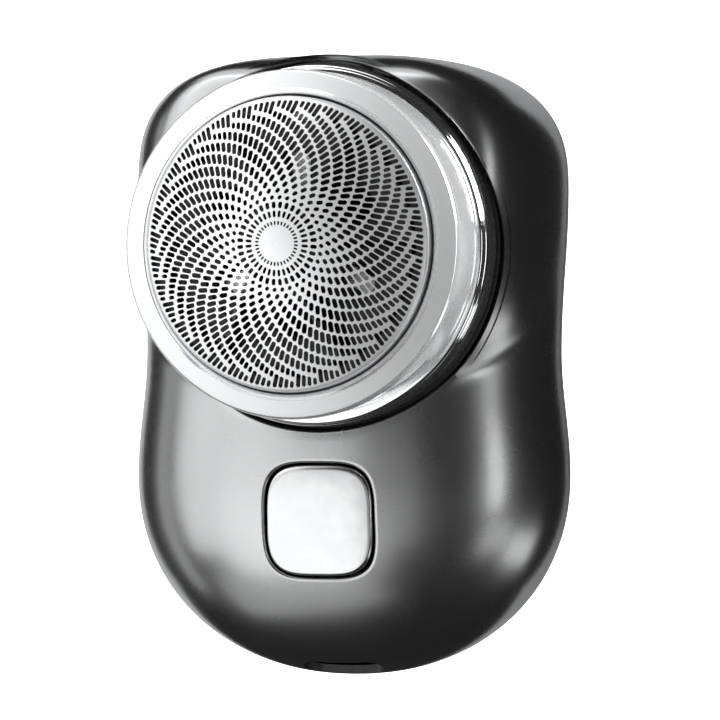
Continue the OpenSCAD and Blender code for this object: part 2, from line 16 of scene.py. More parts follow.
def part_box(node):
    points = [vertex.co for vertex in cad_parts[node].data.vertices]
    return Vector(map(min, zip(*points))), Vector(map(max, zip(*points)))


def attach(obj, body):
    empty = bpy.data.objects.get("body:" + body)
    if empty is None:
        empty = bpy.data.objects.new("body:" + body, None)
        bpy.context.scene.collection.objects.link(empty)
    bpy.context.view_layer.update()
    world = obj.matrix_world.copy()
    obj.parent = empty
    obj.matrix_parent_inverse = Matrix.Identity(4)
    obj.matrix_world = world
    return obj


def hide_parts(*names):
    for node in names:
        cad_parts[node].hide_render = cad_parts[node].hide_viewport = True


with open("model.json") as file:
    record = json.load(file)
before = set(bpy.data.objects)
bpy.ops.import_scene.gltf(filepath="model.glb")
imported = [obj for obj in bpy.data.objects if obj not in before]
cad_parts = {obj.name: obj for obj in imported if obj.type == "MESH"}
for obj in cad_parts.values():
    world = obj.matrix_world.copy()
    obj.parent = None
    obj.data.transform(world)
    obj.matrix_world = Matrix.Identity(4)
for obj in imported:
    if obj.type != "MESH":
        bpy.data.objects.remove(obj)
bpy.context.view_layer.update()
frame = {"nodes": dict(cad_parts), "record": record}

MM = 0.001


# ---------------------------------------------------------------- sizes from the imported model

def box_mm(node):
    """Lowest and highest corner of a CAD node, in millimetres."""
    low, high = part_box(node)
    return np.array(low) / MM, np.array(high) / MM


shell_low, shell_high = box_mm("front_shell")
cap_low, cap_high = box_mm("cap_ring")
foil_low, foil_high = box_mm("foil")
deck_low, deck_high = box_mm("head_deck")
base_low, base_high = box_mm("base_ring")
button_low, button_high = box_mm("power_button")

HALF_LEN = (shell_high[1] - shell_low[1]) / 2
LOBE_W = shell_high[0] - shell_low[0]
SEAM_Z = shell_low[2]
HEAD_Y = (cap_low[1] + cap_high[1]) / 2
HEAD = np.array([0.0, HEAD_Y])
CAP_R = (cap_high[0] - cap_low[0]) / 2
FOIL_R = (foil_high[0] - foil_low[0]) / 2
FOIL_TOP = foil_high[2]
BUTTON_Y = (button_low[1] + button_high[1]) / 2
BUTTON_W = button_high[0] - button_low[0]


# ---------------------------------------------------------------- shape of the body

TOP_W = 48.8          # width around the head
WAIST_W = 47.2        # width at the waist
LOW_Y = -12.1         # where the lower lobe is widest
WAIST_Y = 1.6
HIGH_Y = 19.25        # where the body is widest around the head
LOW_N = 2.12          # superellipse exponents of the two ends
HIGH_N = 2.65
HUB_Y = -1.0          # centre of the back cover's grid
LOBE_H = 13.0         # height of the lobe and of the shoulder above the seam
SHOULDER_H = 13.2
LOBE_N = 2.3
SHOULDER_N = 10.0
SHOULDER_END_N = 20.0
SHOULDER_FOOT_N = 6.0
SHOULDER_R = 25.6
SHOULDER_SQUASH = 1.25   # how much shorter the shoulder is towards the lobe than to the sides
JOIN_N = 10.0
FLAT_PART = 0.6       # part of the back, from its centre outwards, that is flat
OPENING_R = 20.0
OPENING_FILLET = 0.35
WALL = 0.9
SOCKET_GAP = 0.15
SQUIRCLE_N = 3.6
BUTTON_GAP = 0.25


def arch(u, n):
    """Height, from 1 in the middle to 0 at the end, of a superellipse of exponent n."""
    return np.sqrt(np.maximum(0.0, 1.0 - np.minimum(1.0, np.abs(u)) ** n))


def blend(a, b, s):
    return (a + b) / 2 + (a - b) / 2 * np.cos(np.pi * s)


def half_width(y):
    """Half the body's width at y: two superellipse ends joined by a soft waist."""
    y = np.asarray(y, float)
    top_part = np.clip((y - HIGH_Y) / (HALF_LEN - HIGH_Y), 0, 1)
    low_part = np.clip((LOW_Y - y) / (HALF_LEN + LOW_Y), 0, 1)
    top_end = TOP_W / 2 * (1 - top_part ** HIGH_N) ** (1 / HIGH_N)
    low_end = LOBE_W / 2 * (1 - low_part ** LOW_N) ** (1 / LOW_N)
    upper = blend(WAIST_W, TOP_W, (y - WAIST_Y) / (HIGH_Y - WAIST_Y)) / 2
    lower = blend(LOBE_W, WAIST_W, (y - LOW_Y) / (WAIST_Y - LOW_Y)) / 2
    return np.where(y > HIGH_Y, top_end, np.where(y > WAIST_Y, upper, np.where(y > LOW_Y, lower, low_end)))


def front_z(x, y):
    """Height of the front: a low pillow joined to a steep shoulder around the head."""
    x = np.asarray(x, float)
    y = np.asarray(y, float)
    side = np.abs(x) / np.maximum(half_width(y), 1e-6)
    reach = np.where(y < LOW_Y, HALF_LEN + LOW_Y, HALF_LEN - LOW_Y)
    lobe = LOBE_H * arch((y - LOW_Y) / reach, LOBE_N) * arch(side, LOBE_N)
    end = arch(np.maximum(0, y - HEAD_Y) / (HALF_LEN - HEAD_Y), SHOULDER_END_N)
    foot = arch(np.hypot(x, SHOULDER_SQUASH * np.minimum(0, y - HEAD_Y)) / SHOULDER_R, SHOULDER_FOOT_N)
    shoulder = SHOULDER_H * end * arch(side, SHOULDER_N) * foot
    return SEAM_Z + (lobe ** JOIN_N + shoulder ** JOIN_N) ** (1 / JOIN_N)


def outline(count):
    """Points along the body's outline, evenly spaced, anticlockwise from the lowest one."""
    turn = np.linspace(0, np.pi, 4001)
    y = -HALF_LEN * np.cos(turn)
    right = np.column_stack([half_width(y), y])
    whole = np.vstack([right, (right * [-1, 1])[-2::-1]])
    run = np.concatenate([[0], np.cumsum(np.hypot(*np.diff(whole, axis=0).T))])
    at = np.linspace(0, run[-1], count, endpoint=False)
    return np.column_stack([np.interp(at, run, whole[:, k]) for k in (0, 1)])


# ---------------------------------------------------------------- mesh helpers

def new_piece(name, points, faces, materials, body, nodes, crease=28.0, face_material=None):
    """A smooth mesh object from points in millimetres, which stands for CAD nodes and rides on a body."""
    mesh = bpy.data.meshes.new(name)
    mesh.from_pydata([tuple(p) for p in np.asarray(points, float) * MM], [], [tuple(f) for f in faces])
    for material in materials:
        mesh.materials.append(material)
    if face_material is not None:
        mesh.polygons.foreach_set("material_index", face_material)
    weld = bmesh.new()
    weld.from_mesh(mesh)
    bmesh.ops.remove_doubles(weld, verts=weld.verts, dist=0.002 * MM)
    bmesh.ops.recalc_face_normals(weld, faces=weld.faces)
    weld.to_mesh(mesh)
    weld.free()
    mesh.polygons.foreach_set("use_smooth", [True] * len(mesh.polygons))
    mesh.set_sharp_from_angle(angle=math.radians(crease))
    piece = bpy.data.objects.new(name, mesh)
    bpy.context.scene.collection.objects.link(piece)
    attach(piece, body)
    if nodes:
        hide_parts(*nodes)
    return piece


def apply_modifiers(piece, crease):
    """Turns the piece's modifiers into mesh, then marks its creases again."""
    graph = bpy.context.evaluated_depsgraph_get()
    mesh = bpy.data.meshes.new_from_object(piece.evaluated_get(graph))
    piece.modifiers.clear()
    piece.data = mesh
    mesh.set_sharp_from_angle(angle=math.radians(crease))


def thicken(piece, depth, crease):
    """Gives a sheet a wall, inwards from its outer face."""
    wall = piece.modifiers.new("wall", "SOLIDIFY")
    wall.thickness = depth * MM
    wall.offset = -1
    apply_modifiers(piece, crease)


def cut(piece, points, faces, crease):
    """Cuts a closed shape, given in millimetres, out of a piece.

    The cut faces take the piece's second material.
    """
    mesh = bpy.data.meshes.new("cutter")
    mesh.from_pydata([tuple(p) for p in np.asarray(points, float) * MM], [], [tuple(f) for f in faces])
    for material in piece.data.materials:
        mesh.materials.append(material)
    mesh.polygons.foreach_set("material_index", [1] * len(mesh.polygons))
    tool = bpy.data.objects.new("cutter", mesh)
    bpy.context.scene.collection.objects.link(tool)
    removal = piece.modifiers.new("cut", "BOOLEAN")
    removal.operation = "DIFFERENCE"
    removal.solver = "FAST"
    removal.object = tool
    apply_modifiers(piece, crease)
    bpy.data.objects.remove(tool)


def strips(rows, count):
    """Quads between neighbouring closed rows of count points each."""
    return [
        (r * count + i, r * count + (i + 1) % count, (r + 1) * count + (i + 1) % count, (r + 1) * count + i)
        for r in range(rows - 1) for i in range(count)
    ]


def row_quads(rows, count):
    """Quads between neighbouring closed rows, each row given by the numbers of its points."""
    return [
        (upper[i], upper[(i + 1) % count], lower[(i + 1) % count], lower[i])
        for upper, lower in zip(rows, rows[1:]) for i in range(count)
    ]


def fillet(start, corner, end, steps):
    """Points of a round corner, a quarter of an ellipse in the (r, z) plane."""
    start, corner, end = (np.array(p, float) for p in (start, corner, end))
    turn = np.linspace(0, np.pi / 2, steps + 1)
    return [tuple(start + (corner - start) * math.sin(a) + (end - corner) * (1 - math.cos(a))) for a in turn]


def lathe(profile, count, centre=HEAD):
    """Points and faces of a closed profile of (r, z) points turned about a vertical axis."""
    rings = list(profile) + [profile[0]]
    angle = np.linspace(0, 2 * np.pi, count, endpoint=False)
    points = np.vstack([
        np.column_stack([centre[0] + r * np.cos(angle), centre[1] + r * np.sin(angle), np.full(count, z)])
        for r, z in rings
    ])
    return points, strips(len(rings), count)


def join_parts(*parts):
    """Several (points, faces) pairs as one pair."""
    points = []
    faces = []
    base = 0
    for part_points, part_faces in parts:
        points.append(np.asarray(part_points, float))
        faces += [tuple(base + i for i in f) for f in part_faces]
        base += len(part_points)
    return np.vstack(points), faces


def squircle(half, count):
    """Points of a rounded square with bulging sides."""
    angle = np.linspace(0, 2 * np.pi, count, endpoint=False)
    c, s = np.cos(angle), np.sin(angle)
    return half * np.column_stack([
        np.sign(c) * np.abs(c) ** (2 / SQUIRCLE_N), np.sign(s) * np.abs(s) ** (2 / SQUIRCLE_N)
    ])


def even_squircle(half, count):
    """As squircle(), with the points evenly spaced along it."""
    fine = squircle(half, 2880)
    loop = np.vstack([fine, fine[:1]])
    run = np.concatenate([[0], np.cumsum(np.hypot(*np.diff(loop, axis=0).T))])
    at = np.linspace(0, run[-1], count, endpoint=False)
    return np.column_stack([np.interp(at, run, loop[:, k]) for k in (0, 1)])


def outside_squircle(points, half):
    """Above 1 outside a rounded square of that half width, below 1 inside."""
    powers = np.abs(points[:, 0]) ** SQUIRCLE_N + np.abs(points[:, 1]) ** SQUIRCLE_N
    return powers ** (1 / SQUIRCLE_N) / half


# ---------------------------------------------------------------- materials

def node_material(name, metallic=0.0, roughness=0.5, **sockets):
    """A Principled material; returns it with its nodes, links and shader."""
    material = bpy.data.materials.new(name)
    material.use_nodes = True
    tree = material.node_tree
    shader = tree.nodes["Principled BSDF"]
    shader.inputs["Metallic"].default_value = metallic
    shader.inputs["Roughness"].default_value = roughness
    for socket, value in sockets.items():
        shader.inputs[socket.replace("_", " ")].default_value = value
    return material, tree.nodes, tree.links, shader


def object_noise(nodes, links, scale, detail=3.0, stretch=(1, 1, 1)):
    """Noise fixed to the object, scale in cells per metre."""
    place = nodes.new("ShaderNodeTexCoord")
    mapping = nodes.new("ShaderNodeMapping")
    mapping.inputs["Scale"].default_value = stretch
    noise = nodes.new("ShaderNodeTexNoise")
    noise.inputs["Scale"].default_value = scale
    noise.inputs["Detail"].default_value = detail
    links.new(place.outputs["Object"], mapping.inputs["Vector"])
    links.new(mapping.outputs["Vector"], noise.inputs["Vector"])
    return noise.outputs["Fac"]


def ramp(nodes, links, source, low, high, at=(0.3, 0.7)):
    """Turns a grey value into a colour between low and high."""
    mix = nodes.new("ShaderNodeValToRGB")
    mix.color_ramp.elements[0].position = at[0]
    mix.color_ramp.elements[0].color = (*low, 1)
    mix.color_ramp.elements[1].position = at[1]
    mix.color_ramp.elements[1].color = (*high, 1)
    links.new(source, mix.inputs["Fac"])
    return mix.outputs["Color"]


def span(nodes, links, source, low, high):
    """Turns a grey value into a number between low and high."""
    scale = nodes.new("ShaderNodeMapRange")
    scale.inputs["From Min"].default_value = 0.3
    scale.inputs["From Max"].default_value = 0.7
    scale.inputs["To Min"].default_value = low
    scale.inputs["To Max"].default_value = high
    links.new(source, scale.inputs["Value"])
    return scale.outputs["Result"]


def add_bump(nodes, links, shader, source, depth_mm, strength=1.0):
    bump = nodes.new("ShaderNodeBump")
    bump.inputs["Distance"].default_value = depth_mm * MM
    bump.inputs["Strength"].default_value = strength
    links.new(source, bump.inputs["Height"])
    links.new(bump.outputs["Normal"], shader.inputs["Normal"])


def grained(name, low, high, rough, metallic=0.0, scale=900, bump_mm=0.004, stretch=(1, 1, 1), **sockets):
    """Colour, gloss and a fine relief, each varied by noise at its own size."""
    material, nodes, links, shader = node_material(name, metallic, sum(rough) / 2, **sockets)
    broad = object_noise(nodes, links, scale / 6, 4.0, stretch)
    fine = object_noise(nodes, links, scale, 3.0, stretch)
    links.new(ramp(nodes, links, broad, low, high), shader.inputs["Base Color"])
    links.new(span(nodes, links, fine, *rough), shader.inputs["Roughness"])
    add_bump(nodes, links, shader, fine, bump_mm)
    return material


def shell_metal():
    """Satin gunmetal: a metal lacquer with very fine flake under a clear coat."""
    material, nodes, links, shader = node_material("satin_gunmetal", 1.0, 0.27)
    shader.inputs["Coat Weight"].default_value = 0.25
    shader.inputs["Coat Roughness"].default_value = 0.12
    flake = object_noise(nodes, links, 9000, 2.0)
    cloud = object_noise(nodes, links, 120, 3.0)
    links.new(ramp(nodes, links, flake, grey(0.36), grey(0.385)), shader.inputs["Base Color"])
    links.new(span(nodes, links, cloud, 0.26, 0.3), shader.inputs["Roughness"])
    add_bump(nodes, links, shader, flake, 0.001, 0.06)
    return material


def turned_metal(name, low, high, rough, pitch_mm, depth_mm, metallic=1.0):
    """Metal turned on a lathe: fine rings about the head's axis."""
    material, nodes, links, shader = node_material(name, metallic, sum(rough) / 2)
    place = nodes.new("ShaderNodeTexCoord")
    shift = nodes.new("ShaderNodeVectorMath")
    shift.operation = "SUBTRACT"
    shift.inputs[1].default_value = (0, HEAD_Y * MM, 0)
    flatten = nodes.new("ShaderNodeVectorMath")
    flatten.operation = "MULTIPLY"
    flatten.inputs[1].default_value = (1, 1, 0)
    radius = nodes.new("ShaderNodeVectorMath")
    radius.operation = "LENGTH"
    rings = nodes.new("ShaderNodeTexNoise")
    rings.noise_dimensions = "1D"
    rings.inputs["Scale"].default_value = 1 / (pitch_mm * MM)
    rings.inputs["Detail"].default_value = 2.0
    links.new(place.outputs["Object"], shift.inputs[0])
    links.new(shift.outputs["Vector"], flatten.inputs[0])
    links.new(flatten.outputs["Vector"], radius.inputs[0])
    links.new(radius.outputs["Value"], rings.inputs["W"])
    links.new(ramp(nodes, links, rings.outputs["Fac"], low, high), shader.inputs["Base Color"])
    links.new(span(nodes, links, rings.outputs["Fac"], *rough), shader.inputs["Roughness"])
    add_bump(nodes, links, shader, rings.outputs["Fac"], depth_mm)
    return material


def grey(value):
    return (value, value * 1.01, value * 1.02)


def make_materials():
    """One material for each slot of the record, and one for the side of the head's ring."""
    steel = dict(metallic=1.0, scale=1500, stretch=(1, 8, 1))
    return {
        "shell": shell_metal(),
        "ring": turned_metal("ring_satin_face", grey(0.6), grey(0.66), (0.42, 0.5), 0.08, 0.001),
        "ring_side": grained("ring_polished_side", grey(0.86), grey(0.92), (0.12, 0.16), 0.75, 400, 0.0002),
        "chrome": grained("chrome", grey(0.8), grey(0.86), (0.06, 0.1), 1.0, 400, 0.0004),
        "foil": turned_metal("foil_steel", grey(0.86), grey(0.94), (0.38, 0.46), 0.12, 0.0015, metallic=0.6),
        # painted shade: the cutter blades are painted nearly black, far darker than their ground steel, to
        # stand in for the shade inside the head behind the foil's slots
        "blade": grained("blade_painted_shade", grey(0.04), grey(0.07), (0.35, 0.5), **steel),
        "button": grained("bright_button", grey(0.46), grey(0.5), (0.16, 0.2), 1.0, 700, 0.0006),
        "neck": grained("moulded_neck", grey(0.035), grey(0.05), (0.24, 0.32), 0.0, 1400, 0.003),
        "black_plastic": grained("black_plastic", grey(0.012), grey(0.022), (0.42, 0.55), 0.0, 1500, 0.006),
        "pale_plastic": grained("pale_plastic", (0.62, 0.58, 0.5), (0.7, 0.66, 0.57), (0.4, 0.5),
                                0.0, 1200, 0.005),
        "rubber": grained("rubber", grey(0.012), grey(0.02), (0.65, 0.8), 0.0, 1600, 0.01),
        "foam": grained("foam", grey(0.02), grey(0.06), (0.85, 0.95), 0.0, 1100, 0.12),
        "steel": grained("plated_steel", grey(0.5), grey(0.62), (0.22, 0.36), **steel),
        "magnet": grained("nickel", grey(0.6), grey(0.7), (0.12, 0.2), 1.0, 900, 0.001),
        "ferrite": grained("ferrite", grey(0.04), grey(0.07), (0.55, 0.7), 0.1, 1500, 0.015),
        "bronze": grained("sintered_bronze", (0.45, 0.27, 0.11), (0.6, 0.38, 0.17), (0.35, 0.5),
                          1.0, 1800, 0.01),
        "copper": grained("enamelled_copper", (0.6, 0.22, 0.07), (0.75, 0.32, 0.12), (0.25, 0.35),
                          1.0, 1600, 0.01),
        "lead": grained("lead_insulation", (0.4, 0.015, 0.015), (0.5, 0.03, 0.025), (0.35, 0.45),
                        0.0, 900, 0.004),
        "cell": grained("pouch_foil", (0.26, 0.3, 0.36), (0.36, 0.41, 0.47), (0.3, 0.42), 0.6, 300, 0.03),
        "board": grained("solder_mask", (0.01, 0.09, 0.04), (0.015, 0.13, 0.055), (0.25, 0.35),
                         0.0, 900, 0.003),
        "chip": grained("chip_resin", grey(0.014), grey(0.022), (0.5, 0.62), 0.0, 2000, 0.006),
    }


MATERIALS = make_materials()


def paint_cad_nodes():
    """Every CAD node takes the material of its slot, including those that a smooth piece stands for."""
    for part in frame["record"]["subparts"]:
        node = frame["nodes"][part["node"]]
        node.data.materials.clear()
        node.data.materials.append(MATERIALS[part["material_slot"]])


# ---------------------------------------------------------------- shells

SPOKES = 400
RINGS = 60
RIM_BAND = 1.3        # width of the fine mesh around the button's opening
RIM_FILLET = 0.3
RIM_COUNT = 160
SHELL_CREASE = 35     # angle in degrees above which an edge of a shell stays sharp
SEAM_CHAMFER = 0.12


def front_grid():
    """Rings of points from the head's opening to the outline, along straight spokes from the head's axis."""
    edge = outline(SPOKES)
    away = edge - HEAD
    length = np.hypot(*away.T)[:, None]
    unit = away / length
    start = HEAD + unit * (OPENING_R + OPENING_FILLET)
    steps = 1 - (1 - np.arange(RINGS + 1) / RINGS) ** 2
    return [start + (edge - start) * s for s in steps]


def button_band(grid, kept_edges):
    """Triangles between the hole left in the grid and the rounded edge of the button's opening."""
    centre = np.array([0, BUTTON_Y])
    half = BUTTON_W / 2 + BUTTON_GAP
    border = sorted({i for edge in kept_edges for i in edge})
    number = {i: k for k, i in enumerate(border)}
    offsets = (RIM_FILLET, RIM_FILLET + 0.15, RIM_FILLET + 0.4)
    loops = [even_squircle(half + d, RIM_COUNT) + centre for d in offsets]
    flat = np.vstack([grid[border]] + loops)
    edges = [(number[a], number[b]) for a, b in kept_edges]
    first = len(border)
    edges += [(first + i, first + (i + 1) % RIM_COUNT) for i in range(RIM_COUNT)]
    out, _, triangles, origin, _, _ = delaunay_2d_cdt([Vector(p) for p in flat], edges, [], 1, 1e-7)
    out = np.array([tuple(p) for p in out])
    middle = np.array([out[list(t)].mean(0) for t in triangles]) - centre
    keep = outside_squircle(middle, half + RIM_FILLET * 0.98) > 1
    back = [o[0] for o in origin]
    return flat, border, [tuple(back[i] for i in t) for t, k in zip(triangles, keep) if k]


def make_front_shell():
    rings = front_grid()
    flat = np.vstack(rings)
    points = [np.column_stack([flat, front_z(flat[:, 0], flat[:, 1])])]
    centre = np.array([0, BUTTON_Y])
    half = BUTTON_W / 2 + BUTTON_GAP
    inside = outside_squircle(flat - centre, half + RIM_BAND) < 1
    quads = strips(len(rings), SPOKES)
    faces = [q for q in quads if not any(inside[i] for i in q)]

    uses = {}
    for q in faces:
        for a, b in zip(q, q[1:] + q[:1]):
            key = (min(a, b), max(a, b))
            uses[key] = uses.get(key, 0) + 1
    last_ring = RINGS * SPOKES
    rim = [e for e, n in uses.items() if n == 1 and min(e) >= SPOKES and max(e) < last_ring]
    band, border, triangles = button_band(flat, rim)
    extra = band[len(border):]
    base = len(flat)
    renumber = {k: i for k, i in enumerate(border)}
    renumber.update({len(border) + k: base + k for k in range(len(extra))})
    faces += [tuple(renumber[i] for i in t) for t in triangles]
    points.append(np.column_stack([extra, front_z(extra[:, 0], extra[:, 1])]))

    # the rounded edge of the button's opening, then its wall
    rows = [base + np.arange(RIM_COUNT)]
    total = base + len(extra)
    for turn in (18, 36, 54, 72, 90):
        a = math.radians(turn)
        loop = even_squircle(half + RIM_FILLET * (1 - math.sin(a)), RIM_COUNT) + centre
        edge = even_squircle(half + RIM_FILLET, RIM_COUNT) + centre
        z = front_z(edge[:, 0], edge[:, 1]) - RIM_FILLET * (1 - math.cos(a))
        points.append(np.column_stack([loop, z]))
        rows.append(total + np.arange(RIM_COUNT))
        total += RIM_COUNT
    wall = np.array(points[-1])
    wall[:, 2] -= WALL
    points.append(wall)
    rows.append(total + np.arange(RIM_COUNT))
    total += RIM_COUNT
    faces += row_quads(rows, RIM_COUNT)

    # the rounded lip of the head's opening, then its wall
    rows = [np.arange(SPOKES)]
    first_ring = points[0][:SPOKES]
    unit = (first_ring[:, :2] - HEAD) / (OPENING_R + OPENING_FILLET)
    for turn in (15, 30, 45, 60, 75, 90):
        a = math.radians(turn)
        r = OPENING_R + OPENING_FILLET * (1 - math.sin(a))
        z = first_ring[:, 2] - OPENING_FILLET * (1 - math.cos(a))
        points.append(np.column_stack([HEAD + unit * r, z]))
        rows.append(total + np.arange(SPOKES))
        total += SPOKES
    wall = np.array(points[-1])
    wall[:, 2] -= 3 * WALL
    points.append(wall)
    rows.append(total + np.arange(SPOKES))
    faces += row_quads(rows, SPOKES)

    materials = [MATERIALS["shell"], MATERIALS["black_plastic"]]
    shell = new_piece("front_shell_skin", np.vstack(points), faces, materials,
                      "housing", ["front_shell"], crease=SHELL_CREASE)
    thicken(shell, WALL, SHELL_CREASE)
    cut(shell, *socket_opening(), SHELL_CREASE)


def socket_opening():
    """A slot with round ends through the lower end of the shell, a little larger than the charging socket."""
    low, high = box_mm("usb_socket")
    reach, height = (high - low)[[0, 2]] / 2 + SOCKET_GAP
    middle_z = (low[2] + high[2]) / 2
    turn = np.linspace(-np.pi / 2, np.pi / 2, 13)
    end = np.column_stack([reach - height + height * np.cos(turn), height * np.sin(turn)])
    loop = np.vstack([end, -end])
    count = len(loop)
    rows = [np.column_stack([loop[:, 0], np.full(count, y), middle_z + loop[:, 1]])
            for y in (-HALF_LEN - 2, low[1] + 2)]
    faces = strips(2, count) + [tuple(range(count))[::-1], tuple(count + i for i in range(count))]
    return np.vstack(rows), faces


def make_back_cover():
    """The shallow back: rings of points from the seam to the middle, with a small chamfer at the seam."""
    edge = outline(SPOKES)
    hub = np.array([0, HUB_Y])
    points = []
    inward = 1 - SEAM_CHAMFER / np.hypot(*(edge - hub).T)[:, None]
    points.append(np.column_stack([hub + (edge - hub) * inward, np.full(SPOKES, SEAM_Z)]))
    points.append(np.column_stack([edge, np.full(SPOKES, SEAM_Z - SEAM_CHAMFER)]))
    for turn in np.linspace(2.5, 90, 30):
        t = FLAT_PART + (1 - FLAT_PART) * math.cos(math.radians(turn))
        z = SEAM_Z * (1 - math.sin(math.radians(turn)))
        points.append(np.column_stack([hub + (edge - hub) * t, np.full(SPOKES, z)]))
    for t in (0.4, 0.2, 0.05):
        points.append(np.column_stack([hub + (edge - hub) * t, np.zeros(SPOKES)]))
    faces = strips(len(points), SPOKES)
    faces.append(tuple((len(points) - 1) * SPOKES + i for i in range(SPOKES)))
    cover = new_piece("back_cover_skin", np.vstack(points), faces, [MATERIALS["shell"]],
                      "housing", ["back_cover"], crease=SHELL_CREASE)
    thicken(cover, WALL, SHELL_CREASE)


# ---------------------------------------------------------------- button

BUTTON_FACE_Z = 19.85
BUTTON_TILT = 3.0
BUTTON_DOME_R = 80.0
BUTTON_EDGE = 0.3


def make_button():
    """A shallow domed cap with a rounded edge and a skirt."""
    half = BUTTON_W / 2
    count = 160
    slope = math.tan(math.radians(BUTTON_TILT))

    def face_z(flat):
        return BUTTON_FACE_Z + flat[:, 1] * slope - (flat ** 2).sum(1) / (2 * BUTTON_DOME_R)

    rows = []
    for part in (0.02, 0.2, 0.4, 0.6, 0.75, 0.87, 0.95, 1.0):
        flat = even_squircle((half - BUTTON_EDGE) * part, count)
        rows.append(np.column_stack([flat, face_z(flat)]))
    rim = even_squircle(half - BUTTON_EDGE, count)
    for turn in (22.5, 45, 67.5, 90):
        a = math.radians(turn)
        flat = even_squircle(half - BUTTON_EDGE * (1 - math.sin(a)), count)
        rows.append(np.column_stack([flat, face_z(rim) - BUTTON_EDGE * (1 - math.cos(a))]))
    skirt = even_squircle(half, count)
    for z in (18.0, button_low[2] + 0.4):
        rows.append(np.column_stack([skirt, np.full(count, z)]))
    inner = even_squircle(half - 1, count)
    for z in (button_low[2] + 0.4, 18.2):
        rows.append(np.column_stack([inner, np.full(count, z)]))
    points = np.vstack(rows) + [0, BUTTON_Y, 0]
    faces = strips(len(rows), count)
    faces.append(tuple(range(count)))
    faces.append(tuple((len(rows) - 1) * count + i for i in range(count)))
    new_piece("power_button_cap", points, faces, [MATERIALS["button"]], "button", ["power_button"])


# ---------------------------------------------------------------- head

TURN_COUNT = 240
NOTCH_Y = -12.4       # the thumb notch is the part of the side wall below this line
NOTCH_R = CAP_R - 0.75
NOTCH_TOP = 28.6
WALL_COUNT = 180      # points round the side wall outside the notch, and along the notch
NOTCH_COUNT = 80
FACE_R = 16.7         # inner edge of the ring's front face
BORE_R = 16.8
LIP_R = 16.05         # opening of the ring around the foil
LIP_Z = 29.3


def make_cap_ring():
    """The ring around the foil: a tall polished side with a thumb notch, and a sloping satin face."""
    bottom = cap_low[2]
    edge_a = math.asin(NOTCH_Y / CAP_R)
    edge_b = math.asin(NOTCH_Y / NOTCH_R)
    sweep = np.linspace(edge_a, math.pi - edge_a, WALL_COUNT)
    low_sweep = np.linspace(edge_b, -math.pi - edge_b, NOTCH_COUNT)
    angle = np.concatenate([sweep, [a + 2 * math.pi for a in low_sweep[::-1]]])
    in_notch = np.concatenate([np.zeros(WALL_COUNT, bool), np.ones(NOTCH_COUNT, bool)])
    count = len(angle)

    # each row: radius outside the notch, radius inside it, height
    side = [(CAP_R - 0.1, NOTCH_R - 0.1, bottom), (CAP_R, NOTCH_R, bottom + 0.1)]
    side += [(CAP_R, NOTCH_R, bottom + 0.3), (CAP_R, NOTCH_R, NOTCH_TOP - 0.3), (CAP_R, NOTCH_R, NOTCH_TOP)]
    side += [(CAP_R, CAP_R, NOTCH_TOP), (CAP_R, CAP_R, NOTCH_TOP + 0.15)]
    crown = fillet((CAP_R, 28.95), (CAP_R, 29.45), (CAP_R - 0.3, 29.58), 5)
    crown += [(CAP_R - 0.4, 29.605), (17.6, 29.81), (16.8, 30.01), (FACE_R, 30.035)]
    crown += [(16.6, 30.09), (16.45, cap_high[2]), (16.3, 30.08)]
    crown += [(16.15, 29.97), (16.07, 29.85), (LIP_R, 29.75)]
    inner = [(LIP_R, LIP_Z), (BORE_R, LIP_Z), (BORE_R, bottom)]
    rows = side + [(r, r, z) for r, z in crown + inner]
    rows.append(rows[0])
    points = []
    for outer_r, notch_r, z in rows:
        r = np.where(in_notch, notch_r, outer_r)
        points.append(np.column_stack([r * np.cos(angle), HEAD_Y + r * np.sin(angle), np.full(count, z)]))
    faces = strips(len(rows), count)
    satin = range(len(side) + 5, len(side) + 5 + 4)
    kinds = [1 if r in satin else 0 for r in range(len(rows) - 1) for _ in range(count)]
    new_piece("cap_ring_turned", np.vstack(points), faces, [MATERIALS["ring_side"], MATERIALS["ring"]],
              "head", ["cap_ring"], face_material=kinds)


def make_base_ring():
    """The thin stepped ring that the head sits on."""
    z0, z1 = base_low[2], base_high[2]
    profile = [(17.05, z0), (19.35, z0), (19.45, z0 + 0.05), (19.5, z0 + 0.15), (19.5, z0 + 0.5)]
    profile += [(19.45, z0 + 0.58), (19.35, z0 + 0.63), (19.3, z0 + 0.7), (19.3, z0 + 1.1)]
    profile += fillet((19.3, z0 + 1.15), (19.3, z1), (18.95, z1), 4)
    profile += [(17.05, z1)]
    points, faces = lathe(profile, TURN_COUNT)
    new_piece("base_ring_turned", points, faces, [MATERIALS["chrome"]], "housing", ["base_ring"])


def make_neck():
    """The deck that carries the head: a grooved wall, a floor with a hole for the drive, and magnet seats."""
    low, top = deck_low[2], deck_high[2]
    floor = low + 1.5
    outer = (deck_high[0] - deck_low[0]) / 2
    wall = [(outer, low), (outer, 17.35), (outer - 0.45, 17.55), (outer - 0.45, 18.2), (outer, 18.4)]
    for z in (19.2, 19.7, 20.2):
        wall += [(outer, z - 0.05), (outer - 0.1, z), (outer - 0.1, z + 0.12), (outer, z + 0.17)]
    wall += [(outer, top - 0.1), (outer - 0.1, top)]
    inside = [(17.15, top), (17.05, top - 0.1), (17.05, floor + 0.15), (16.9, floor), (3.45, floor)]
    inside += [(3.3, floor - 0.15), (3.3, low)]
    parts = [lathe(wall + inside, TURN_COUNT)]
    for turn in (30, 150, 270):
        a = math.radians(turn)
        spot = HEAD + 14.4 * np.array([math.cos(a), math.sin(a)])
        seat = [(2.1, floor - 0.5), (2.1, floor + 1.7), (1.95, floor + 1.85), (1.6, floor + 1.85)]
        seat += [(1.45, floor + 1.75), (1.45, floor - 0.5)]
        parts.append(lathe(seat, 40, spot))
    points, faces = join_parts(*parts)
    new_piece("head_deck_moulded", points, faces, [MATERIALS["neck"]], "housing", ["head_deck"])


# ---------------------------------------------------------------- foil

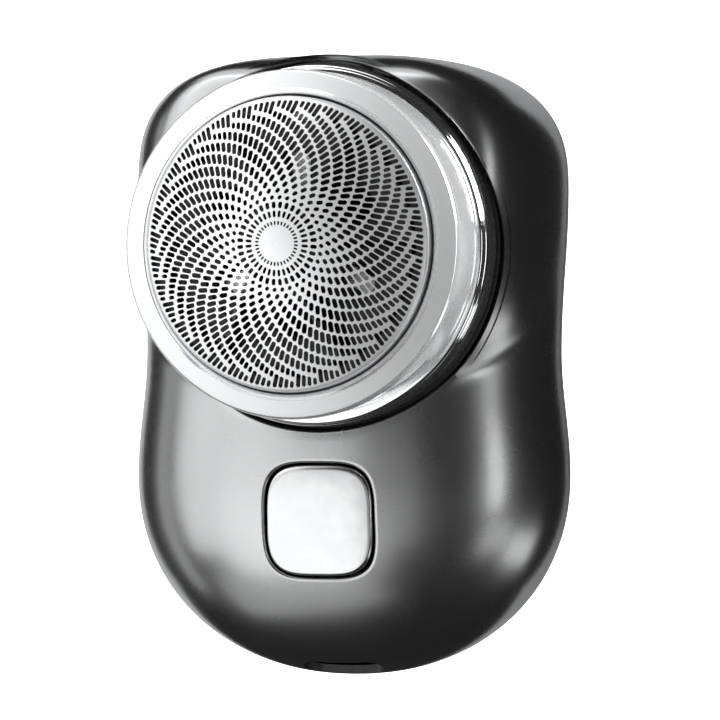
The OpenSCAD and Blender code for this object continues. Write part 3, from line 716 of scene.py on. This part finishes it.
FOIL_RISE = 3.5
FOIL_SPHERE_R = (FOIL_R ** 2 + FOIL_RISE ** 2) / (2 * FOIL_RISE)
SLOT_REPEAT = 36
SLOT_END_R = 15.36    # where the slotted part ends and the rolled rim begins
ARM_SLOTS = 19
FOIL_SHEET = 0.14
FOIL_CREASE = 50


def slot_rows():
    """One arm of slots: (radius, angle, length, width, lean from the radius), in millimetres and degrees."""
    rows = []
    for j in range(3):
        rows.append((2.19 + 0.96 * j, 4.87, 0.44 + 0.28 * min(j, 1), 0.2 + 0.11 * j, 0.0))
    for k in range(ARM_SLOTS):
        r = 4.92 + 0.74 * k - 0.0135 * k * k
        turn = 6.75 + 3.05 * k - 0.023 * k * k
        length = 0.5 + 0.68 * math.sin(math.pi * k / 20)
        width = 0.38 + 0.14 * math.sin(math.pi * (k + 1) / 21)
        rows.append((r, turn, length, width, min(-16.0, -40.0 + 1.5 * k)))
    for j in range(4):
        length = 1.5 - 0.25 * j
        rows.append((SLOT_END_R - length / 2, 55.9 + 2.3 * j, length, 0.47 - 0.02 * j, -16.0))
    return rows


def slot_shape(length, width):
    """A slot with rounded corners, along +X."""
    corner = width * 0.42
    points = []
    for sx, sy, first in ((1, 1, 0), (-1, 1, 90), (-1, -1, 180), (1, -1, 270)):
        for step in (0, 45, 90):
            a = math.radians(first + step)
            points.append((sx * (length / 2 - corner) + corner * math.cos(a),
                           sy * (width / 2 - corner) + corner * math.sin(a)))
    return np.array(points)


def all_slots():
    loops = []
    for r, turn, length, width, lean in slot_rows():
        shape = slot_shape(length, width)
        tilt = math.radians(lean)
        along = np.array([math.cos(tilt), math.sin(tilt)])
        side = np.array([-along[1], along[0]])
        local = shape[:, :1] * along + shape[:, 1:] * side + [r, 0]
        for copy in range(SLOT_REPEAT):
            a = math.radians(turn + 360 * copy / SLOT_REPEAT)
            spin = np.array([[math.cos(a), math.sin(a)], [-math.sin(a), math.cos(a)]])
            loops.append(local @ spin)
    return loops


def foil_z(r):
    return FOIL_TOP - FOIL_SPHERE_R + np.sqrt(FOIL_SPHERE_R ** 2 - r ** 2)


def make_foil():
    """A thin dome with curved arms of slots, and a rolled rim."""
    count = 360
    flat_r = SLOT_END_R + 0.08
    angle = np.linspace(0, 2 * np.pi, count, endpoint=False)
    ring = np.column_stack([np.cos(angle), np.sin(angle)])
    loops = all_slots()
    centre = [ring[::count // 24] * r for r in (0.5, 1.0, 1.45)]
    flat = np.vstack([ring * flat_r] + loops + centre)
    edges = [(i, (i + 1) % count) for i in range(count)]
    first = count
    for loop in loops:
        n = len(loop)
        edges += [(first + i, first + (i + 1) % n) for i in range(n)]
        first += n
    out, _, triangles, origin, _, _ = delaunay_2d_cdt([Vector(p) for p in flat], edges, [], 1, 1e-7)
    owner = [np.full(count, -1)] + [np.full(len(loop), k) for k, loop in enumerate(loops)]
    owner = np.concatenate(owner + [np.full(24 * len(centre), -1)])
    back = [o[0] if o else -1 for o in origin]
    owners = np.array([owner[b] if b >= 0 else -2 for b in back])
    solid = [t for t in triangles if not (owners[t[0]] >= 0 and (owners[list(t)] == owners[t[0]]).all())]
    out = np.array([tuple(p) for p in out])
    dome = np.column_stack([out, foil_z(np.hypot(*out.T))])

    edge_z = float(foil_z(flat_r))
    rim = fillet((flat_r, edge_z), (FOIL_R, edge_z - 0.12), (FOIL_R, edge_z - 0.5), 7)[1:]
    rim += [(FOIL_R, 30.0), (FOIL_R, foil_low[2])]
    rows = [np.column_stack([ring * r, np.full(count, z)]) for r, z in rim]
    number = {b: i for i, b in enumerate(back) if 0 <= b < count}
    top_row = np.array([dome[number[i]] for i in range(count)])
    skirt = np.vstack([top_row] + rows)
    points, faces = join_parts((dome, solid), (skirt, strips(len(rows) + 1, count)))
    points = points + [0, HEAD_Y, 0]
    foil = new_piece("foil_screen", points, faces, [MATERIALS["foil"]],
                     "foil_unit", ["foil"], crease=FOIL_CREASE)
    thicken(foil, FOIL_SHEET, FOIL_CREASE)


# ---------------------------------------------------------------- floor, light and camera

def sheet_of_paper(name, low, high, z, glow):
    """A flat white rectangle, lit from behind as on a light table. Corners and height in millimetres."""
    mesh = bpy.data.meshes.new(name)
    corners = [(low[0], low[1], z), (high[0], low[1], z), (high[0], high[1], z), (low[0], high[1], z)]
    mesh.from_pydata([tuple(c * MM for c in p) for p in corners], [], [(0, 1, 2, 3)])
    material, nodes, links, shader = node_material(name + "_paper", 0.0, 0.6)
    paper = object_noise(nodes, links, 400)
    links.new(ramp(nodes, links, paper, grey(0.92), grey(0.95)), shader.inputs["Base Color"])
    shader.inputs["Emission Color"].default_value = (1, 1, 1, 1)
    shader.inputs["Emission Strength"].default_value = glow
    mesh.materials.append(material)
    paper = bpy.data.objects.new(name, mesh)
    bpy.context.scene.collection.objects.link(paper)
    return paper


def make_floor():
    """A wide pale floor that metal doesn't mirror, and a small card under the object that it does."""
    floor = sheet_of_paper("floor", (-1500, -1500), (1500, 1500), -0.04, 0.9)
    floor.visible_glossy = False
    card = sheet_of_paper("card", (-40, -35.5), (29.5, 40), -0.02, 0.05)
    card.visible_camera = False


def softbox(name, across, along, distance, size, glow):
    """A soft light of even brightness, placed by two angles from straight up.

    across is in degrees to the right, along in degrees towards the head.
    """
    a, b = math.radians(across), math.radians(along)
    direction = Vector((math.sin(a) * math.cos(b), math.sin(b), math.cos(a) * math.cos(b)))
    data = bpy.data.lights.new(name, "AREA")
    data.shape = "RECTANGLE"
    data.size, data.size_y = size
    data.energy = glow * math.pi * size[0] * size[1]
    light = bpy.data.objects.new(name, data)
    right = Vector((math.cos(a), 0, -math.sin(a)))
    light.matrix_world = Matrix((right, direction.cross(right), direction)).transposed().to_4x4()
    light.location = direction * distance + Vector((0, 0, 0.015))
    bpy.context.scene.collection.objects.link(light)
    return light


def make_lights():
    """A nearly dark room with soft lights, most of them on the left, and a strip on the right."""
    world = bpy.data.worlds.new("studio")
    world.use_nodes = True
    world.node_tree.nodes["Background"].inputs["Color"].default_value = (1, 1, 1, 1)
    world.node_tree.nodes["Background"].inputs["Strength"].default_value = 0.03
    bpy.context.scene.world = world
    softbox("key_high", -36, 32, 0.8, (0.46, 0.9), 2.0)
    softbox("key_low", -29, -17, 0.8, (0.6, 0.5), 2.1)
    softbox("key_below", -38, -45, 0.8, (0.7, 0.3), 0.75)
    softbox("far_left", -62, 15, 0.8, (0.34, 1.3), 1.7)
    softbox("left_top", -55, 68, 0.8, (0.9, 0.4), 1.5)
    softbox("edge_of_key", 3, -12, 0.8, (0.2, 0.35), 0.6)
    softbox("strip_right", 50, -3, 0.8, (0.15, 0.26), 3.2)
    softbox("strip_low", 56, -25, 0.8, (0.3, 0.2), 1.2)
    softbox("low_left", -88, -10, 0.5, (0.1, 0.5), 0.8)
    softbox("low_right", 86, -31, 0.6, (0.3, 0.16), 1.7)
    ring_light = softbox("ring_side", 80, 30, 0.5, (0.3, 0.3), 26.0)
    light_only(ring_light, "cap_ring_turned", "base_ring_turned")


def light_only(light, *names):
    """The light falls on these pieces alone."""
    group = bpy.data.collections.new(light.name + "_pieces")
    for name in names:
        group.objects.link(bpy.data.objects[name])
    light.light_linking.receiver_collection = group


def make_camera():
    """Looks down from 17.5 degrees to the right of the front, with the head end up."""
    data = bpy.data.cameras.new("camera")
    data.sensor_width = 36
    data.lens = 318
    data.clip_start = 0.05
    camera = bpy.data.objects.new("camera", data)
    turn = math.radians(17.5)
    towards = Vector((math.sin(turn), 0, math.cos(turn)))
    right = Vector((math.cos(turn), 0, -math.sin(turn)))
    up = Vector((0, 1, 0))
    aim = Vector((0, 0, SEAM_Z * MM)) + right * 0.715 * MM + up * 0.55 * MM
    camera.matrix_world = Matrix((right, up, towards)).transposed().to_4x4()
    camera.location = aim + towards * 0.7
    bpy.context.scene.collection.objects.link(camera)
    bpy.context.scene.camera = camera


bpy.context.scene.view_settings.view_transform = "Standard"
paint_cad_nodes()
make_front_shell()
make_back_cover()
make_button()
make_cap_ring()
make_base_ring()
make_neck()
make_foil()
make_floor()
make_lights()
make_camera()
